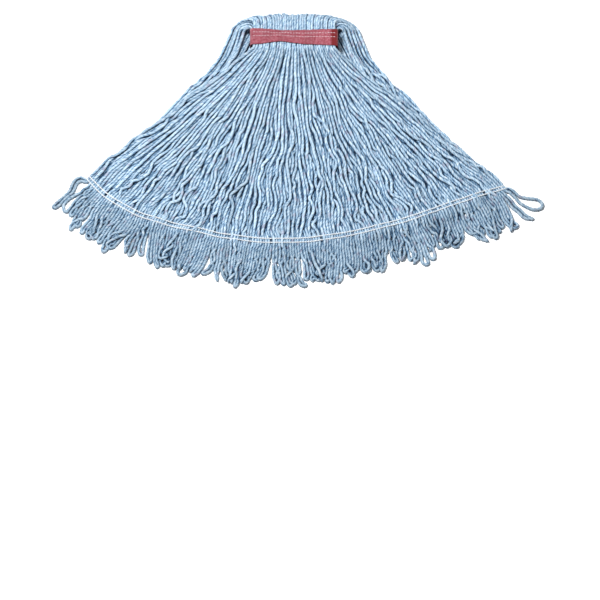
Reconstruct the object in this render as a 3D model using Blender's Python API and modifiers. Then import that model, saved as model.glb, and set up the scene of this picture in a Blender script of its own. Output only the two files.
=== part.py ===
"""Looped-end wet mop head, laid flat on its back half.

The yarn is one bundle. It passes through a woven headband, folds over at the crown and runs back
under itself, so the mop has a front half and a back half. Each half is a fan of hanks, held by a
tailband of two chain-stitched rows, and ends in a looped fringe. Units are metres, +Z is up, +X is
across the mop and the fringe points to -Y. Both halves swing about an X axis just below the band.
"""
import math

import bmesh
import bpy
from mathutils import Matrix, Vector

YARN = 0.0054                  # diameter of one 4-ply yarn
HANKS = 10                     # hanks across each half
YARN_AREA = 0.0039             # width times thickness of one half's yarn, in square metres
CHAMFER = 0.3                  # of a hank's thinner side, at its corners
GAP = 0.0006                   # clearance between neighbouring hanks
CLEAR = 0.0003                 # clearance of a thread from what it lies on

BAND_WIDTH = 0.134
BAND_HEIGHT = 0.030
BAND_TOP = 0.046               # height of the band's front face
TAPE = 0.002                   # thickness of the headband's woven tape
BAND_CORNER = 0.005            # radius of the tape's centreline round the bundle's corners
BACK_LAYERS = (0.021, 0.0186)  # heights of the two layers of tape behind the bundle
TAPE_END = 0.003               # the tape's inner end stops this far short of the corner
BUNDLE_Z = 0.0330              # the bundle inside the band: its centre's height
BUNDLE_THICK = 0.0214
BUNDLE_HALF = 0.0645           # half its width
STITCH_ROWS = (0.0220, 0.0145)  # the band's sewn rows, up from its lower edge
STITCH_RADIUS = 0.0004
STITCH_END = 0.005             # the rows stop this far from the band's ends
GROOVE_DEPTH = 0.0013          # how far the stitches have pulled into the tape
GROOVE_END = 0.001             # the groove runs on past its stitches

HINGE_Y = -0.040               # both halves bend here, below the band's lower edge
FRONT_HINGE_Z = 0.0252
FRONT_HINGE_R = 0.0087         # half the front bundle's thickness at the hinge
BACK_HINGE_R = 0.0072          # the back bundle lies on z = 0, so this is its centre's height too
FRONT_HINGE_X = (-0.128, 0.114)
BACK_HINGE_X = (-0.145, 0.153)

FOLD_Y = 0.044                 # the crown folds about this line
FOLD_Z = 0.0205
FOLD_R = 0.0125                # radius of the bundle's centre round the fold

FRINGE = 0.070                 # length of the looped fringe past the tailband
FRINGE_SPREAD = 0.55           # how much of the fan's angle the fringe keeps
FRINGE_THICK = 0.0056
ROW_SPACING = 0.0067           # between the tailband's two rows
THREAD_RADIUS = 0.0006

CURVE_STEPS = 24               # fine steps between two points of a smooth curve
TURN_STEPS = 4                 # steps round each corner of the tape
LOOP_STEPS = 30                # steps along a stray loop
ROW_STEPS = 3                  # steps of a sewn row across one hank
END_ANGLES = (75, 50, 25, 0)   # stations of a fan hank's half-round end, in degrees
FAN_STATIONS = (0.12, 0.35, 0.6, 0.85, 1.0, 1.15, 1.5, 1.85, 1.97)

# Points of the smooth curve that each half's tailband follows in plan, left to right.
FRONT_TAILBAND = ((-0.314, -0.208), (-0.272, -0.251), (-0.190, -0.289), (-0.030, -0.319),
                  (0.130, -0.296), (0.321, -0.224))
BACK_TAILBAND = ((-0.258, -0.176), (-0.190, -0.216), (-0.095, -0.238), (0.004, -0.244),
                 (0.105, -0.238), (0.200, -0.213), (0.262, -0.181))

# Points of the last loop at each end of the front fringe, which has swung out by itself.
LEFT_LOOP = ((-0.3225, -0.203), (-0.336, -0.213), (-0.345, -0.232), (-0.355, -0.249),
             (-0.3610, -0.259), (-0.358, -0.266), (-0.351, -0.262), (-0.347, -0.254),
             (-0.336, -0.238), (-0.329, -0.222))
RIGHT_LOOP = ((0.3295, -0.225), (0.338, -0.234), (0.348, -0.239), (0.358, -0.243),
              (0.367, -0.250), (0.3705, -0.259), (0.366, -0.267), (0.358, -0.267),
              (0.350, -0.262), (0.343, -0.254), (0.338, -0.2465))

BLUE = (0.27, 0.46, 0.70)
RED = (0.62, 0.07, 0.09)
WHITE = (0.85, 0.86, 0.87)


def new_collection(name):
    group = bpy.data.collections.new(name)
    bpy.context.scene.collection.children.link(group)
    return group


def new_empty(name, place, parent=None):
    empty = bpy.data.objects.new(name, None)
    empty.empty_display_size = 0.03
    empty.location = place
    mop.objects.link(empty)
    empty.parent = parent
    return empty


def add_part(name, data, pivot, colour):
    """Link a mesh or curve drawn in the mop's frame, carried by its body's pivot."""
    data.transform(Matrix.Translation(-pivot.location))
    mat = bpy.data.materials.new(name)
    mat.use_nodes = True
    shader = mat.node_tree.nodes["Principled BSDF"]
    shader.inputs["Base Color"].default_value = (*colour, 1.0)
    shader.inputs["Roughness"].default_value = 0.9
    shader.inputs["Metallic"].default_value = 0.0
    data.materials.append(mat)
    obj = bpy.data.objects.new(name, data)
    mop.objects.link(obj)
    obj.parent = pivot
    return obj


def lerp(a, b, t):
    return a + (b - a) * t


def along_table(table, t):
    """Read a piecewise-linear table of (t, value) pairs."""
    for (t0, v0), (t1, v1) in zip(table, table[1:]):
        if t <= t1:
            return lerp(v0, v1, (t - t0) / (t1 - t0))
    return table[-1][1]


def smooth_curve(points, steps):
    """Points at even steps along a Catmull-Rom curve through points of the plan."""
    pts = [Vector(p) for p in points]
    pts = [2 * pts[0] - pts[1], *pts, 2 * pts[-1] - pts[-2]]
    fine = []
    for a, b, c, d in zip(pts, pts[1:], pts[2:], pts[3:]):
        for k in range(CURVE_STEPS):
            t = k / CURVE_STEPS
            fine.append(0.5 * (2 * b + (c - a) * t + (2 * a - 5 * b + 4 * c - d) * t ** 2
                               + (3 * b - a - 3 * c + d) * t ** 3))
    fine.append(pts[-2])
    reach = [0.0]
    for a, b in zip(fine, fine[1:]):
        reach.append(reach[-1] + (b - a).length)
    even = []
    i = 0
    for k in range(steps + 1):
        goal = reach[-1] * k / steps
        while i < len(fine) - 2 and reach[i + 1] < goal:
            i += 1
        even.append(fine[i].lerp(fine[i + 1], (goal - reach[i]) / (reach[i + 1] - reach[i])))
    return even


def ring(centre, across, up, width, height):
    """A box section with chamfered corners, counter-clockwise seen along across x up."""
    cut = CHAMFER * min(width, height)
    w, h = width / 2, height / 2
    corners = ((w, cut - h), (w, h - cut), (w - cut, h), (cut - w, h),
               (-w, h - cut), (-w, cut - h), (cut - w, -h), (w - cut, -h))
    return [centre + across * x + up * y for x, y in corners]


def loft(name, rings):
    """Skin a row of sections, and close both ends.

    A twisted side is split along the same diagonal on a hank's right as on its neighbour's left, so
    the gap between two hanks is even.
    """
    bm = bmesh.new()
    rows = [[bm.verts.new(p) for p in one] for one in rings]
    for a, b in zip(rows, rows[1:]):
        for k in range(len(a)):
            n = (k + 1) % len(a)
            if 3 <= k <= 5:
                bm.faces.new((a[k], a[n], b[k]))
                bm.faces.new((a[n], b[n], b[k]))
            else:
                bm.faces.new((a[k], a[n], b[n]))
                bm.faces.new((a[k], b[n], b[k]))
    bm.faces.new(list(reversed(rows[0])))
    bm.faces.new(rows[-1])
    bmesh.ops.recalc_face_normals(bm, faces=bm.faces)
    mesh = bpy.data.meshes.new(name)
    bm.to_mesh(mesh)
    bm.free()
    return mesh


def tube(name, points, radius):
    """A round thread or yarn along a row of points, with closed ends."""
    curve = bpy.data.curves.new(name, "CURVE")
    curve.dimensions = "3D"
    curve.bevel_depth = radius
    curve.bevel_resolution = 2
    curve.use_fill_caps = True
    spline = curve.splines.new("POLY")
    spline.points.add(len(points) - 1)
    for slot, p in zip(spline.points, points):
        slot.co = (*p, 1.0)
    return curve


# The yarn that stays with the headband: up from the front bend, through the band, over the crown
# and down to the back bend. Stations: y and z of the centre, thickness, lean of the section from
# upright towards +Y in degrees, lowest x, highest x.

def head_stations():
    front_end = HINGE_Y + FRONT_HINGE_R + GAP
    back_end = HINGE_Y + BACK_HINGE_R + GAP
    back = BACK_HINGE_R
    rows = [(front_end, 0.0277, 0.0184, 0, -0.113, 0.104),
            (-0.014, 0.0312, 0.0200, 0, -0.088, 0.085),
            (0.000, BUNDLE_Z, BUNDLE_THICK, 0, -BUNDLE_HALF, BUNDLE_HALF),
            (BAND_HEIGHT, BUNDLE_Z, BUNDLE_THICK, 0, -BUNDLE_HALF, BUNDLE_HALF)]
    for lean in (30, 60, 90, 120, 150):
        t = lean / 180
        a = math.radians(lean)
        rows.append((FOLD_Y + FOLD_R * math.sin(a), FOLD_Z + FOLD_R * math.cos(a),
                     lerp(0.0205, 0.0162, t), lean, lerp(-0.070, -0.101, t ** 0.6),
                     lerp(0.069, 0.095, t ** 0.6)))
    rows += [(FOLD_Y, back + 0.0006, 2 * back + 0.0012, 180, -0.101, 0.095),
             (0.000, back + 0.0003, 2 * back + 0.0006, 180, -0.118, 0.121),
             (back_end, back, 2 * back, 180, -0.140, 0.148)]
    return rows


def head_hank(index):
    rings = []
    for y, z, thick, lean, x0, x1 in head_stations():
        left = lerp(x0, x1, index / HANKS) + GAP / 2
        right = lerp(x0, x1, (index + 1) / HANKS) - GAP / 2
        up = Matrix.Rotation(-math.radians(lean), 3, "X") @ Vector((0, 0, 1))
        centre = Vector(((left + right) / 2, y, z))
        rings.append(ring(centre, Vector((1, 0, 0)), up, right - left, thick))
    return loft(f"head_hank_{index + 1:02d}", rings)


# A half's fan. Each hank lies between two plan lines that run from the bend to the tailband and
# on down the fringe, and starts in a half-round end about the hinge's axis.

class Half:
    def __init__(self, tailband, hinge_x, hinge_z, hinge_r, floor_table):
        self.tail = smooth_curve(tailband, HANKS)
        self.hinge_x = hinge_x
        self.hinge_z = hinge_z
        self.hinge_r = hinge_r
        self.floor_table = floor_table
        self.tail_width = sum((b - a).length for a, b in zip(self.tail, self.tail[1:]))
        reach = (self.tail[HANKS // 2] - Vector((0, HINGE_Y))).length
        self.row_stations = (("upper", 1 - ROW_SPACING / reach), ("lower", 1.0))

    def line(self, index, s):
        """The plan point at s along line index: 0 at the bend, 1 at the tailband, 2 at the tip."""
        start = Vector((lerp(*self.hinge_x, index / HANKS), HINGE_Y))
        end = self.tail[index]
        if s <= 1:
            return start.lerp(end, s)
        fan = end - start
        angle = math.atan2(fan.x, -fan.y) * FRINGE_SPREAD
        return end + Vector((math.sin(angle), -math.cos(angle))) * FRINGE * (s - 1)

    def thickness(self, s):
        if s > 1:
            return FRINGE_THICK
        near = self.hinge_x[1] - self.hinge_x[0]
        width = lerp(near, self.tail_width, s)
        return min(2 * self.hinge_r, YARN_AREA / width)

    def floor(self, s):
        return along_table(self.floor_table, s)

    def section(self, index, s):
        left, right = self.line(index, s), self.line(index + 1, s)
        across = (right - left).normalized()
        middle = (left + right) / 2
        height = self.thickness(s)
        centre = Vector((*middle, self.floor(s) + height / 2))
        width = (right - left).length - GAP
        return ring(centre, Vector((*across, 0)), Vector((0, 0, 1)), width, height)

    def hank(self, index, name):
        rings = []
        x0 = lerp(*self.hinge_x, index / HANKS) + GAP / 2
        x1 = lerp(*self.hinge_x, (index + 1) / HANKS) - GAP / 2
        for angle in END_ANGLES:
            a = math.radians(angle)
            centre = Vector(((x0 + x1) / 2, HINGE_Y + self.hinge_r * math.sin(a), self.hinge_z))
            height = 2 * self.hinge_r * math.cos(a)
            rings.append(ring(centre, Vector((1, 0, 0)), Vector((0, 0, 1)), x1 - x0, height))
        for s in FAN_STATIONS:
            rings.append(self.section(index, s))
        return loft(name, rings)

    def sewn_row(self, s, over):
        """A thread along the tailband, above the hanks, or below them."""
        points = []
        for k in range(ROW_STEPS * HANKS + 1):
            index = min(k // ROW_STEPS, HANKS - 1)
            t = (k - ROW_STEPS * index) / ROW_STEPS
            plan = self.line(index, s).lerp(self.line(index + 1, s), t)
            lift = CLEAR + THREAD_RADIUS
            height = self.floor(s) + self.thickness(s) + lift if over else self.floor(s) - lift
            points.append(Vector((*plan, height)))
        return points


FRONT_FLOOR = ((0.0, FRONT_HINGE_Z - FRONT_HINGE_R), (0.85, 0.0104), (1.0, 0.0082),
               (1.18, 0.0072), (1.85, 0.0), (2.0, 0.0))
BACK_FLOOR = ((0.0, 0.0), (0.85, 0.0), (1.0, 0.0021), (1.15, 0.0003), (1.5, 0.0), (2.0, 0.0))


# The headband: one tape wrapped round the bundle one and a half times, sewn through in two rows.

def tape_path():
    """The tape's centreline in x and z, from its inner end behind the bundle, round the front."""
    low, lower = BACK_LAYERS
    side = (BAND_WIDTH - TAPE) / 2
    top = BAND_TOP - TAPE / 2
    points = [(side - BAND_CORNER - TAPE_END, low)]

    def turn(cx, cz, start, end):
        for k in range(TURN_STEPS + 1):
            a = math.radians(lerp(start, end, k / TURN_STEPS))
            points.append((cx + BAND_CORNER * math.cos(a), cz + BAND_CORNER * math.sin(a)))

    turn(BAND_CORNER - side, low + BAND_CORNER, 270, 180)
    turn(BAND_CORNER - side, top - BAND_CORNER, 180, 90)
    turn(side - BAND_CORNER, top - BAND_CORNER, 90, 0)
    turn(side - BAND_CORNER, lower + BAND_CORNER, 0, -90)
    points.append((BAND_CORNER - side, lower))
    return points


def stitch_span():
    return BAND_WIDTH / 2 - BAND_CORNER - STITCH_END


def band():
    bm = bmesh.new()
    rows = [[bm.verts.new((x, y, z)) for x, z in tape_path()] for y in (0.0, BAND_HEIGHT)]
    for k in range(len(rows[0]) - 1):
        bm.faces.new((rows[0][k], rows[0][k + 1], rows[1][k + 1], rows[1][k]))
    mesh = bpy.data.meshes.new("headband")
    bm.to_mesh(mesh)
    bm.free()
    obj = add_part("headband", mesh, head, RED)
    wall = obj.modifiers.new("tape", "SOLIDIFY")
    wall.thickness = TAPE
    wall.offset = 0.0
    wall.use_even_offset = True
    for number, row in enumerate(STITCH_ROWS):
        for face_z in (BAND_TOP, BACK_LAYERS[1] - TAPE / 2):
            cut_groove(obj, number, row, face_z)
    return obj


def cut_groove(obj, number, row, face_z):
    bpy.ops.mesh.primitive_cube_add(size=1.0)
    cutter = bpy.context.object
    cutter.name = f"groove_cutter_{number}_{'front' if face_z == BAND_TOP else 'back'}"
    for group in list(cutter.users_collection):
        group.objects.unlink(cutter)
    cutters.objects.link(cutter)
    size = Vector((2 * (stitch_span() + GROOVE_END), 2 * (STITCH_RADIUS + CLEAR),
                   2 * GROOVE_DEPTH))
    cutter.data.transform(Matrix.Diagonal((*size, 1.0)))
    cutter.parent = head
    cutter.location = Vector((0, row, face_z)) - head.location
    cutter.hide_render = True
    cutter.display_type = "WIRE"
    cut = obj.modifiers.new(cutter.name, "BOOLEAN")
    cut.operation = "DIFFERENCE"
    cut.object = cutter


def band_stitches():
    sink = GROOVE_DEPTH - CLEAR - STITCH_RADIUS
    heights = {"front": BAND_TOP - sink, "back": BACK_LAYERS[1] - TAPE / 2 + sink}
    for label, y in zip(("upper", "lower"), STITCH_ROWS):
        for side, z in heights.items():
            ends = [Vector((-stitch_span(), y, z)), Vector((stitch_span(), y, z))]
            name = f"headband_{side}_stitch_{label}"
            add_part(name, tube(name, ends, STITCH_RADIUS), head, WHITE)


def stray_loop(name, points):
    lying = [Vector((*p, YARN / 2 + CLEAR)) for p in smooth_curve(points, LOOP_STEPS)]
    add_part(name, tube(name, lying, YARN / 2), front_skirt, BLUE)


def sit_on_origin(root):
    """Put the middle of the mop's underside at the origin."""
    bpy.context.view_layer.update()
    graph = bpy.context.evaluated_depsgraph_get()
    corners = []
    for obj in mop.objects:
        if obj.type in {"MESH", "CURVE"}:
            seen = obj.evaluated_get(graph)
            mesh = seen.to_mesh()
            corners += [seen.matrix_world @ v.co for v in mesh.vertices]
            seen.to_mesh_clear()
    low = Vector([min(c[k] for c in corners) for k in range(3)])
    high = Vector([max(c[k] for c in corners) for k in range(3)])
    root.location -= Vector(((low.x + high.x) / 2, (low.y + high.y) / 2, low.z))


for old in list(bpy.data.objects):
    bpy.data.objects.remove(old, do_unlink=True)

mop = new_collection("string_mop_head")
cutters = new_collection("cutters")
head = new_empty("head", (0, 0, 0))
front_skirt = new_empty("front_skirt_pivot", (0, HINGE_Y, FRONT_HINGE_Z), head)
back_skirt = new_empty("back_skirt_pivot", (0, HINGE_Y, BACK_HINGE_R), head)

front = Half(FRONT_TAILBAND, FRONT_HINGE_X, FRONT_HINGE_Z, FRONT_HINGE_R, FRONT_FLOOR)
back = Half(BACK_TAILBAND, BACK_HINGE_X, BACK_HINGE_R, BACK_HINGE_R, BACK_FLOOR)

for number in range(HANKS):
    add_part(f"head_hank_{number + 1:02d}", head_hank(number), head, BLUE)
for label, half, body in (("front", front, front_skirt), ("back", back, back_skirt)):
    for number in range(HANKS):
        name = f"{label}_hank_{number + 1:02d}"
        add_part(name, half.hank(number, name), body, BLUE)
    for row, s in half.row_stations:
        for thread, over in (("needle", True), ("looper", False)):
            name = f"{label}_tailband_{row}_{thread}_thread"
            add_part(name, tube(name, half.sewn_row(s, over), THREAD_RADIUS), body, WHITE)

band()
band_stitches()
stray_loop("stray_loop_left", LEFT_LOOP)
stray_loop("stray_loop_right", RIGHT_LOOP)
sit_on_origin(head)
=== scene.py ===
"""Looped-end wet mop head: its yarn, headband, sewn tailbands and fringe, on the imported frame."""
import math

import bpy
import numpy as np
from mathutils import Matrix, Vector


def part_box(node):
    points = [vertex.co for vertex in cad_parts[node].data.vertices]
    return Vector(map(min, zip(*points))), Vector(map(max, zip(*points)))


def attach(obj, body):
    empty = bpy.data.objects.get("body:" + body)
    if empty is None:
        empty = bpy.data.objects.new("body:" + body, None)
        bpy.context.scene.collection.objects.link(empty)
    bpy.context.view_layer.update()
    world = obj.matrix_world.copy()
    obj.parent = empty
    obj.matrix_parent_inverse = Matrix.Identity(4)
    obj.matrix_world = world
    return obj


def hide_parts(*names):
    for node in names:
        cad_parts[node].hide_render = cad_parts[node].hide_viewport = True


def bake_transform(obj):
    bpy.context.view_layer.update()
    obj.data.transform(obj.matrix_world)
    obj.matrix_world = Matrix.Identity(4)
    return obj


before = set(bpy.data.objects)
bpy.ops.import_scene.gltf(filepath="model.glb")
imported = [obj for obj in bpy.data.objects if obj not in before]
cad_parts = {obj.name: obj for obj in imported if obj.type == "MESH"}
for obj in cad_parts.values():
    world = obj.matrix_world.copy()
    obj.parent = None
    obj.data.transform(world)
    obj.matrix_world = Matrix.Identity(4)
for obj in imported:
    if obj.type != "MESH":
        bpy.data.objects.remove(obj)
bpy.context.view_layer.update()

# --- Studio -----------------------------------------------------------------------------------
# A white floor lit by a soft light from above left and a weak one from the right, and a long lens
# looking down on the mop as it lies. `edge` is the middle of the headband's lower edge.

band_low, band_high = (Vector(p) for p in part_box("headband"))
edge = Vector(((band_low.x + band_high.x) / 2, band_low.y, 0.0))
VIEW_HEIGHT = math.radians(62)       # the lens looks down by this angle
VIEW_WIDTH = 0.895                   # what the picture is wide, at the mop
LENS_MM = 400
aim = edge + Vector((0.009, -0.4175, 0.010))
reach = VIEW_WIDTH * LENS_MM / 36

camera = bpy.data.objects.new("camera", bpy.data.cameras.new("camera"))
bpy.context.scene.collection.objects.link(camera)
camera.data.lens = LENS_MM
camera.data.clip_end = 50
camera.location = aim + reach * Vector((0, -math.cos(VIEW_HEIGHT), math.sin(VIEW_HEIGHT)))
camera.rotation_euler = (math.pi / 2 - VIEW_HEIGHT, 0, 0)
bpy.context.scene.camera = camera


def add_light(name, place, size, watts):
    lamp = bpy.data.lights.new(name, "AREA")
    lamp.shape = "DISK"
    lamp.size = size
    lamp.energy = watts
    obj = bpy.data.objects.new(name, lamp)
    bpy.context.scene.collection.objects.link(obj)
    obj.location = place
    obj.rotation_euler = (aim - obj.location).to_track_quat("-Z", "Y").to_euler()


add_light("key_light", (-0.85, 0.15, 2.6), 0.6, 112)
add_light("fill_light", (1.1, 0.9, 2.4), 1.2, 14)

world = bpy.data.worlds.new("white_room")
bpy.context.scene.world = world
world.use_nodes = True
world.node_tree.nodes["Background"].inputs["Color"].default_value = (1, 1, 1, 1)
world.node_tree.nodes["Background"].inputs["Strength"].default_value = 0.15
bpy.context.scene.view_settings.view_transform = "Standard"


def add_node(tree, kind, values=(), links=(), **settings):
    """Add one node: its settings, then socket values, then links as (socket, from_node, output)."""
    node = tree.nodes.new(kind)
    for name, value in settings.items():
        setattr(node, name, value)
    for socket, value in dict(values).items():
        node.inputs[socket].default_value = value
    for socket, source, output in links:
        tree.links.new(source.outputs[output], node.inputs[socket])
    return node


def linear(code):
    """An sRGB hex colour as linear RGBA."""
    parts = [int(code[k:k + 2], 16) / 255 for k in (1, 3, 5)]
    return (*[c / 12.92 if c <= 0.04045 else ((c + 0.055) / 1.055) ** 2.4 for c in parts], 1.0)


def new_material(name):
    """A new material, its node tree and its Principled BSDF."""
    material = bpy.data.materials.new(name)
    material.use_nodes = True
    return material, material.node_tree, material.node_tree.nodes["Principled BSDF"]


bpy.ops.mesh.primitive_plane_add(size=12)
floor = bpy.context.object
floor.name = "floor"
paper, tree, shader = new_material("matt_white_paper")
shader.inputs["Base Color"].default_value = linear("#f6f7f8")
shader.inputs["Roughness"].default_value = 0.9
shader.inputs["Specular IOR Level"].default_value = 0.2
floor.data.materials.append(paper)

# --- Yarn: where each loop goes ---------------------------------------------------------------
# The mop is one bundle of looped yarns, sewn in the headband at its middle. A loop is two strands
# side by side: out of the band, down the fan to the tailband, round the fringe and back again.

mm = 0.001
YARN = 5.4 * mm                      # thickness of the 4-ply yarn
LOOPS = 85                           # loops in each half
STRANDS = 2 * LOOPS
LAYERS = 5                           # strands that lie on each other inside the band
FAN_STEPS = 64                       # beads from the middle of the band to the tailband
TIP_STEPS = 28                       # beads round the fringe's loop
FAN_LENGTH = 345                     # about how long a strand is inside the fan, in millimetres
BUNDLE = 124                         # how wide the yarn lies inside the headband, in millimetres
LOWEST_LAYER = 24.8                  # its lowest layer's height there, in millimetres
LAYER_RISE = 4.1
FRONT_HEIGHT, BACK_HEIGHT = 14.0 * mm, 4.6 * mm     # each half at its tailband, before it settles
BEADS = 2 * (FAN_STEPS + 2) + TIP_STEPS - 1
ROW_SPACING = 6.7 * mm               # between the tailband's two rows
FRINGE = 70 * mm
FRINGE_SPREAD = 0.55                 # how much of the fan's angle the fringe keeps

# Points of each tailband's curve, from the headband's lower edge, in millimetres.
FRONT_TAILBAND = ((-314, -208), (-272, -251), (-190, -289), (-30, -319), (130, -296), (321, -224))
BACK_TAILBAND = ((-258, -176), (-190, -216), (-95, -238), (4, -244), (105, -238), (200, -213),
                 (262, -181))
# The last loop at each end of the front fringe has swung out by itself.
LEFT_LOOP = ((-315, -205), (-328.5, -211.6), (-337.5, -232.8), (-355, -250), (-363, -258))
RIGHT_LOOP = ((321, -222), (332, -234), (341, -243), (355, -249), (366, -252), (374, -256))
LEFT_OPENING = ((0, 2.7), (0.9, 2.9), (0.97, 2.2), (1, 0.3))
RIGHT_OPENING = ((0, 2.7), (0.35, 2.8), (0.55, 6.5), (0.8, 9.6), (0.93, 7.0), (1, 0.5))

dice = np.random.default_rng(7)


def smooth_curve(points, steps):
    """Even points on a Catmull-Rom curve through plan points given in millimetres."""
    pts = np.array(points, float)
    pts = np.vstack([2 * pts[0] - pts[1], pts, 2 * pts[-1] - pts[-2]])
    t = (np.arange(24) / 24)[:, None]
    runs = [0.5 * (2 * b + (c - a) * t + (2 * a - 5 * b + 4 * c - d) * t ** 2
                   + (3 * b - a - 3 * c + d) * t ** 3)
            for a, b, c, d in zip(pts, pts[1:], pts[2:], pts[3:])]
    return even_points(np.vstack([*runs, pts[-2:-1]]) * mm, steps)


def even_points(line, steps):
    """The same line with points an even distance apart."""
    along = np.concatenate([[0], np.cumsum(np.linalg.norm(np.diff(line, axis=0), axis=1))])
    goals = np.linspace(0, along[-1], steps + 1)
    return np.stack([np.interp(goals, along, line[:, k]) for k in range(line.shape[1])], 1)


def soft_noise(places, spread, rows):
    """Smooth random values in -1..1: one row per strand, joined across `spread` strands."""
    knots = dice.normal(size=(int(STRANDS / spread) + 4, rows))
    at = np.arange(STRANDS) / spread
    low = at.astype(int)
    part = (1 - np.cos((at - low) * math.pi)) / 2
    mixed = knots[low] * (1 - part)[:, None] + knots[low + 1] * part[:, None]
    spots = places * (rows - 1)
    k = np.minimum(spots.astype(int), rows - 2)
    f = (1 - np.cos((spots - k) * math.pi)) / 2
    return mixed[:, k] * (1 - f) + mixed[:, k + 1] * f


def crown_line(x, z, level):
    """One strand out of the band's top edge, over the crown and back underneath, spreading."""
    side = x / (62 * mm)
    by = abs(side) ** 7                  # the outermost strands lie beside the band's ends
    low = ((14.6 - 2.95 * level) * (1 - by) + (31 - 5.2 * level) * by + dice.normal() * 0.5) * mm
    deep = (7.5 + 3.4 * level + dice.normal() * 1.1) * mm * (1 - 0.34 * side ** 4)
    swing = (26 + 3.4 * level) * (1 - by) + (15 + 6 * level) * by
    swing = side * swing * mm + dice.normal() * 1.2 * mm
    fold = (43 - 2 * side ** 4 - 2.5 * by * (4 - level)) * mm
    line = [(x, 15 * mm, z), (x, 29 * mm, z)]
    for a in np.radians(np.arange(0, 181, 10)):
        line.append((x + swing * (1 - math.cos(a)) / 2, fold + deep * math.sin(a),
                     (z + low) / 2 + (z - low) / 2 * math.cos(a)
                     + by * (9 - 2.2 * level) * mm * math.sin(a)))
    line.append((side * (118 * (1 - by) + (82 + 9 * level) * by) * mm, 0, low * (1 - 0.2 * by)))
    line.append((side * (141 * (1 - by) + (102 + 10 * level) * by) * mm, -32 * mm,
                 low * (1 - 0.5 * by)))
    return line


def strand_paths(front):
    """Beads of every strand from the band's middle to the tailband's upper row, and its slot."""
    tail = smooth_curve(FRONT_TAILBAND if front else BACK_TAILBAND, STRANDS)
    slots = (tail[1:] + tail[:-1]) / 2
    column = np.arange(STRANDS) // LAYERS
    band_x = ((column + 0.5) / (STRANDS / LAYERS) - 0.5) * BUNDLE * mm
    level = np.array([dice.permutation(LAYERS) for _ in range(STRANDS // LAYERS)]).ravel()
    paths = []
    outs = []
    for k in range(STRANDS):
        x = band_x[k] + dice.normal() * 0.7 * mm
        z = (LOWEST_LAYER + LAYER_RISE * level[k] + dice.uniform(-0.5, 0.5)) * mm
        if front:
            start = np.array([x, 0.0])
            line = [(x, 15 * mm, z), (x, 8 * mm, z), (x, 0, z)]
        else:
            line = crown_line(x, z, level[k])
            start = np.array(line[-1][:2])
        fan = slots[k] - start
        fan /= np.linalg.norm(fan)
        outs.append(fan)
        upper = slots[k] - fan * ROW_SPACING
        line.append((*upper, FRONT_HEIGHT if front else BACK_HEIGHT))
        paths.append(even_points(np.array(line), FAN_STEPS))
    return np.array(paths), slots, np.array(outs)


def add_waves(paths, outs, front):
    """Lie the strands in loose waves: whole locks together, then each by itself."""
    s = np.linspace(0, 1, FAN_STEPS + 1)
    y = paths[:, :, 1]
    free = np.clip((-y - 2 * mm) / (30 * mm), 0, 1) * np.clip((1 - s) / 0.045, 0, 1)
    side = np.stack([-outs[:, 1], outs[:, 0], 0 * outs[:, 0]], 1)[:, None]
    lock = 4.2 * mm * soft_noise(s, 5, 7) + 1.7 * mm * soft_noise(s, 2.2, 10)
    lock += 2.6 * mm * soft_noise(s, 2.5, 15) * np.clip((s - 0.55) / 0.25, 0, 1)
    lock *= 1 - 0.85 * np.abs(np.linspace(-1, 1, STRANDS))[:, None] ** 10
    own = np.zeros_like(lock)

    def wave(height, shortest, longest):
        turns = FAN_LENGTH / dice.uniform(shortest, longest)
        return height * mm * np.sin((turns * s + dice.random()) * 2 * math.pi)

    lower = np.clip((s - 0.66) / 0.2, 0, 1)     # short of the tailband the yarn curls more
    for k in range(STRANDS):
        own[k] = wave(dice.gamma(2.0, 0.7), 60, 130)
        own[k] += wave(min(dice.gamma(2.0, 0.42), 1.7), 21, 38)
        own[k] += wave(min(dice.gamma(1.3, 1.3), 4.0), 32, 50) * lower
        if front and dice.random() < 0.07:
            own[k] += wave(dice.uniform(3, 6), 52, 78) * lower
            paths[k, :, 2] += 6 * mm * np.clip((s - 0.55) / 0.15, 0, 1) * (s < 0.99)
    return paths + side * ((lock + own) * free)[:, :, None]


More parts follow.
